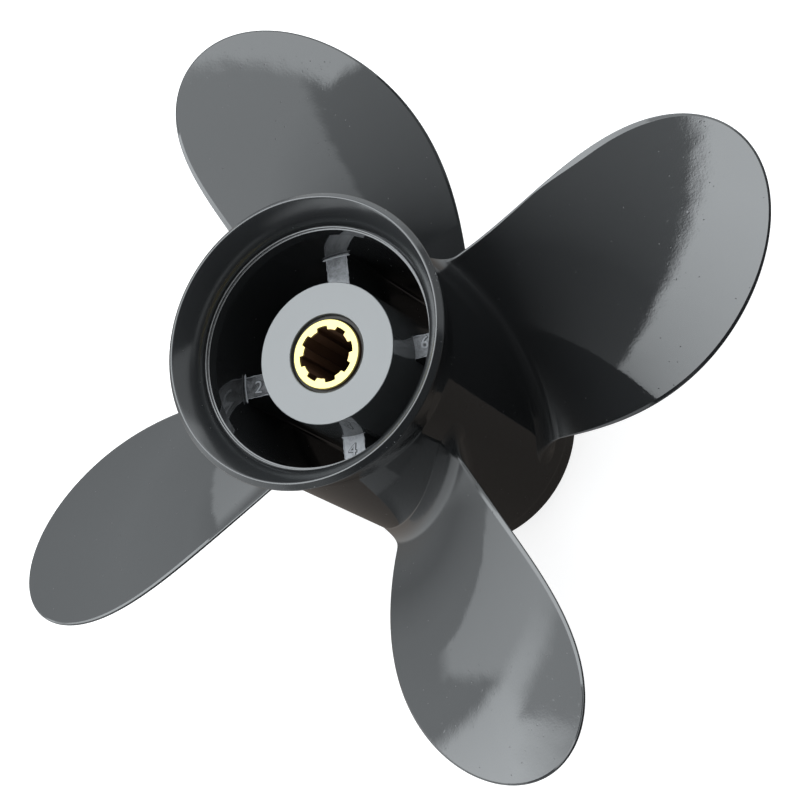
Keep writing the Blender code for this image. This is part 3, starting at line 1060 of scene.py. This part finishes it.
def make_rib(number, paint, cast):
    """One rib, with a rough-cast aft end."""
    turn = Matrix.Rotation(RIB_ANGLE + math.tau * (number - 1) / RIB_COUNT, 4, "Z")
    turn = turn @ Matrix.Translation((0.0, RIB_OFFSETS[number - 1], 0.0))
    hub_bare_and_shading, wall_bare_and_shading = RIB_BARE_AND_SHADING[number - 1]
    growth = (wall_bare_and_shading - hub_bare_and_shading) / (BARREL_BORE_RADIUS - INNER_HUB_RADIUS)
    shell = rib_prism(rib_outline(), turn)
    shell.verts.layers.float.new("bare_and_painted_light")
    # Bare metal with painted shading across the rib end, growing from hub to wall
    set_bare_and_painted_light(shell, 0, hub_bare_and_shading, growth)
    plain_faces = len(shell.faces)
    count = len(shell.verts)
    add_rib_flash(shell, number, turn)
    # The flash and rims get painted highlight
    set_bare_and_painted_light(shell, count, RIB_EDGE_HIGHLIGHT)
    # The digits get painted highlight, and the thin moat round them painted shade
    if number in DIGITS:
        sizes = zip((DIGIT_RISE, DIGIT_MOAT_RISE), (0.0, DIGIT_MOAT), DIGIT_HIGHLIGHT_AND_SHADE)
        for rise, swelling, bare_and_painted_light in sizes:
            count = len(shell.verts)
            add_digit(shell, number, rise, swelling)
            set_bare_and_painted_light(shell, count, bare_and_painted_light)
    shell.faces.ensure_lookup_table()
    for face in shell.faces[plain_faces:]:
        face.material_index = 1
    return finish_mesh(f"rib_casting_{number}", shell, [paint, cast])


def make_bushing(rubber):
    """The rubber bushing, whose lip shows between the inner hub and the sleeve."""
    shoulder = INNER_HUB_AFT - INNER_HUB_SHOULDER
    top = INNER_HUB_AFT - BUSHING_RECESS
    corners = [
        (SLEEVE_RADIUS, BUSHING_FRONT, 0.0),
        (INNER_HUB_BORE_RADIUS, BUSHING_FRONT, BUSHING_FRONT_EDGE),
        (INNER_HUB_BORE_RADIUS, shoulder, 0.0),
        (INNER_HUB_HOLE_RADIUS, shoulder, 0.0),
        (INNER_HUB_HOLE_RADIUS, top, BUSHING_LIP_EDGE),
        (SLEEVE_RADIUS, top, BUSHING_LIP_EDGE),
    ]
    return turned("rubber_bushing_moulding", corners, rubber, BUSHING_CORNER_STEPS)


def sleeve_radius(angle):
    """The radius of the splined bore at an angle: teeth with short sloping flanks."""
    period = math.tau / SPLINE_COUNT
    share = ((angle - SPLINE_PHASE) / period + 0.5) % 1.0 - 0.5
    flank = (abs(share) - SPLINE_TOOTH_SHARE / 2) / SPLINE_FLANK_SHARE
    tooth = SPLINE_MAJOR_RADIUS - SPLINE_MINOR_RADIUS
    return SPLINE_MINOR_RADIUS + tooth * min(max(flank, 0.0), 1.0)


def make_sleeve(brass):
    """The brass sleeve with its splined bore."""
    shell = bmesh.new()
    levels = [
        (SLEEVE_FRONT + SLEEVE_CHAMFER, 0.0, 0.0),
        (INNER_HUB_AFT - SLEEVE_CHAMFER, 0.0, 0.0),
        (INNER_HUB_AFT, -SLEEVE_CHAMFER, SLEEVE_BORE_CHAMFER),
        (SLEEVE_FRONT, -SLEEVE_CHAMFER, SLEEVE_BORE_CHAMFER),
    ]
    angles = [math.tau * index / SLEEVE_STEPS for index in range(SLEEVE_STEPS)]
    outer, inner = [], []
    for height, outward, inward in levels:
        wall = [(SLEEVE_RADIUS + outward, angle) for angle in angles]
        bore = [(sleeve_radius(angle) + inward, angle) for angle in angles]
        for rings, ring in ((outer, wall), (inner, bore)):
            places = [on_circle(radius, angle, height) + SLEEVE_SHIFT for radius, angle in ring]
            rings.append([shell.verts.new(place) for place in places])
    join_rings(shell, [outer[3], *outer[:3], *reversed(inner[:3]), inner[3], outer[3]])
    return finish_mesh("splined_sleeve_brass", shell, [brass])


# Studio


def toward(azimuth, elevation):
    """The unit direction at an azimuth from +X and an elevation."""
    flat = math.cos(elevation)
    return Vector((flat * math.cos(azimuth), flat * math.sin(azimuth), math.sin(elevation)))


def make_camera():
    """The camera at the photograph's place, turned about its own view axis."""
    data = bpy.data.cameras.new("camera")
    data.sensor_width = SENSOR_WIDTH
    data.lens = FOCAL_PIXELS / IMAGE_WIDTH * data.sensor_width
    camera = add_object("camera", data)
    back = toward(CAMERA_AZIMUTH, CAMERA_ELEVATION)
    upright = back.to_track_quat("Z", "Y").to_matrix().to_4x4()
    roll = Matrix.Rotation(CAMERA_ROLL, 4, "Z")
    camera.matrix_world = Matrix.Translation(CAMERA_AIM + back * CAMERA_DISTANCE) @ upright @ roll
    bpy.context.scene.camera = camera


def make_studio():
    """The floor, the room that lights the paint and is mirrored by it, and the view transform."""
    make_floor()
    make_world()
    bpy.context.scene.view_settings.view_transform = "Standard"


def make_floor():
    """A plain pale floor that the front rim stands on."""
    material, tree, shader = new_material("pale_floor")
    tree.feed(shader, {
        "Base Color": FLOOR_COLOUR,
        "Roughness": FLOOR_ROUGHNESS,
        "Emission Color": WHITE,
        "Emission Strength": FLOOR_GLOW,
    })
    shell = bmesh.new()
    bmesh.ops.create_grid(shell, x_segments=1, y_segments=1, size=FLOOR_SIZE / 2)
    mesh = bpy.data.meshes.new("floor")
    shell.to_mesh(mesh)
    shell.free()
    mesh.materials.append(material)
    floor = add_object("floor", mesh)
    floor.visible_diffuse = False
    floor.visible_glossy = False


def ceiling_light(under, along, across):
    """Lays the side panel and the main panel over the low light, by slopes along and across."""
    side = above(along, across * SIDE_NEAR[1] + SIDE_NEAR[0], SIDE_EDGES["near"])
    side = side * above(SIDE_RIGHT, along, SIDE_EDGES["right"])
    side = side * above(SIDE_FAR, across, SIDE_EDGES["far"])
    light = laid_over(under, side, ramp(across, *SIDE_RADIANCE).at_least(SIDE_LEAST))
    main = above(along, ramp(across, *MAIN_LEFT), MAIN_EDGES["left"])
    main = main * above(ramp(across, *MAIN_RIGHT), along, MAIN_EDGES["right"])
    main = main * above(across, along * along * MAIN_NEAR[1] + MAIN_NEAR[0], MAIN_EDGES["near"])
    main = main * above(MAIN_FAR, across, MAIN_EDGES["far"])
    drop = above(along, MAIN_DROP["start"], MAIN_DROP["edge"]) * MAIN_DROP["radiance"]
    return laid_over(light, main, ramp(along, *MAIN_RADIANCE) - drop)


def wall_light(under, across, lean, up):
    """Lays the far wall, its brighter left part, the window and the patch over the low light."""
    border = LEFT_LEAN[1] - (up - LEFT_HIGH["start"]).at_least(0.0) * LEFT_HIGH["slope"]
    border = border - (LEFT_LOW["start"] - up).at_least(0.0) * LEFT_LOW["slope"]
    left = between(lean, (LEFT_LEAN[0], border), LEFT_EDGE)
    wall = laid_over(ramp(up, *WALL_RADIANCE), left, ramp(up, *LEFT_RADIANCE))
    window = ((lean - WINDOW_FADE["start"]) / WINDOW_FADE["width"]).clamp()
    window = window * above(WINDOW_RIGHT["lean"], lean, WINDOW_RIGHT["edge"])
    window = window * above(up, WINDOW_UP["start"], WINDOW_UP["edge"])
    wall = laid_over(wall, window, up * WINDOW_RADIANCE[1] + WINDOW_RADIANCE[0])
    border = PATCH_LEFT["lean"] - (up - PATCH_LEFT["start"]).at_least(0.0) * PATCH_LEFT["slope"]
    patch = above(up, PATCH_UP["start"], PATCH_UP["edge"]) * above(border, lean, PATCH_LEFT["edge"])
    wall = laid_over(wall, patch, PATCH_RADIANCE)
    return laid_over(under, above(across, MAIN_FAR, MAIN_EDGES["far"]), wall)


def floor_light(across, lean, depth):
    """Radiance of the floor as the paint mirrors it, with a brighter part and a dark near part."""
    far = (depth * FLOOR_RADIANCE[1] + FLOOR_RADIANCE[0]).at_least(FLOOR_LEAST)
    border = (FLOOR_BRIGHT_DEPTH["lean"] - lean).at_least(0.0) * FLOOR_BRIGHT_DEPTH["slope"]
    border = border + FLOOR_BRIGHT_DEPTH["start"]
    bright = above(lean, FLOOR_BRIGHT_LEAN["start"], FLOOR_BRIGHT_LEAN["edge"])
    bright = bright * above(depth, border, FLOOR_BRIGHT_DEPTH["edge"])
    far = laid_over(far, bright, (depth * FLOOR_BRIGHT[1] + FLOOR_BRIGHT[0]).at_least(FLOOR_LEAST))
    left = above(depth * FLOOR_LEFT["slope"] - lean, FLOOR_LEFT["start"], FLOOR_LEFT["edge"])
    far = laid_over(far, left, FLOOR_LEFT["radiance"])
    light = far * (across + 1.0).clamp().at_least(FLOOR_NEAR_LEAST)
    under = above(depth, FLOOR_UNDER["start"], FLOOR_UNDER["edge"])
    return laid_over(light, under, FLOOR_UNDER["radiance"])


def make_world():
    """A room with bright ceiling panels over a far wall; the camera itself sees a pale backdrop."""
    world = bpy.data.worlds.new("studio")
    world.use_nodes = True
    tree = Tree(world.node_tree)
    background = world.node_tree.nodes["Background"]
    ray = tree.node("ShaderNodeTexCoord", output="Generated")
    axes = [toward(ROOM_TURN, 0.0), toward(ROOM_TURN + math.pi / 2, 0.0), Vector((0.0, 0.0, 1.0))]
    dot = {"operation": "DOT_PRODUCT"}
    dots = [tree.node("ShaderNodeVectorMath", dot, {0: ray, 1: axis}, "Value") for axis in axes]
    along, across, up = dots
    height = up.at_least(HORIZON)
    slope_along, slope_across = along / height, across / height
    low = ramp(slope_across, *LOW_RADIANCE).at_least(LOW_LEAST)
    low = low * ramp(slope_along, *LOW_LEFT).at_least(LOW_LEFT_LEAST)
    glow = across * GLOW_RADIANCE["across"] + along * GLOW_RADIANCE["along"]
    glow = (glow + GLOW_RADIANCE["start"]).clamp()
    low = low.at_least(glow * between(up, GLOW_UP, GLOW_EDGE))
    light = wall_light(low, slope_across, along / across.at_least(LEAN_LEAST), up)
    light = ceiling_light(light, slope_along, slope_across)
    lean = along / across.math("ABSOLUTE").at_least(LEAN_LEAST)
    light = laid_over(light, above(-up, 0.0, FLOOR_START), floor_light(across, lean, -up))
    seen = tree.node("ShaderNodeLightPath", output="Is Camera Ray")
    tint = tree.mix(above(-up, DEEP["start"], DEEP["edge"]), SKY_TINT, DEEP_TINT)
    tree.feed(background, {
        "Color": tree.mix(seen, tint, WHITE),
        "Strength": laid_over(light, seen, BACKDROP_RADIANCE),
    })
    bpy.context.scene.world = world


def place_piece(piece, slot, *nodes):
    """Puts a finished piece on the casting's body in place of its solids."""
    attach(piece, "root")
    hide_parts(*nodes)


def main():
    """Builds every piece, the camera and the studio."""
    make_camera()
    make_studio()
    paint = gloss_paint("grey_paint", PAINT_GREY)
    # The inner hub's paint is a lighter grey, as a painted sheen
    hub_paint = gloss_paint("hub_paint", HUB_SHEEN_GREY, peel=HUB_PEEL, pinhole_share=0.0)
    cast = rough_cast("rough_cast_end")
    brass = turned_brass("machined_brass")
    rubber = moulded_rubber("black_rubber")
    group = blade_tree(paint)
    for number in range(1, BLADE_COUNT + 1):
        place_piece(make_blade(number, group), "grey_paint", f"blade_{number}")
    place_piece(make_hub_shell(paint), "grey_paint", "barrel", "flare_ring")
    place_piece(make_inner_hub(hub_paint), "hub_paint", "inner_hub")
    for number in range(1, RIB_COUNT + 1):
        place_piece(make_rib(number, paint, cast), "grey_paint", f"rib_{number}")
    place_piece(make_bushing(rubber), "black_rubber", "rubber_bushing")
    place_piece(make_sleeve(brass), "machined_brass", "splined_sleeve")
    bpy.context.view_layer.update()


main()
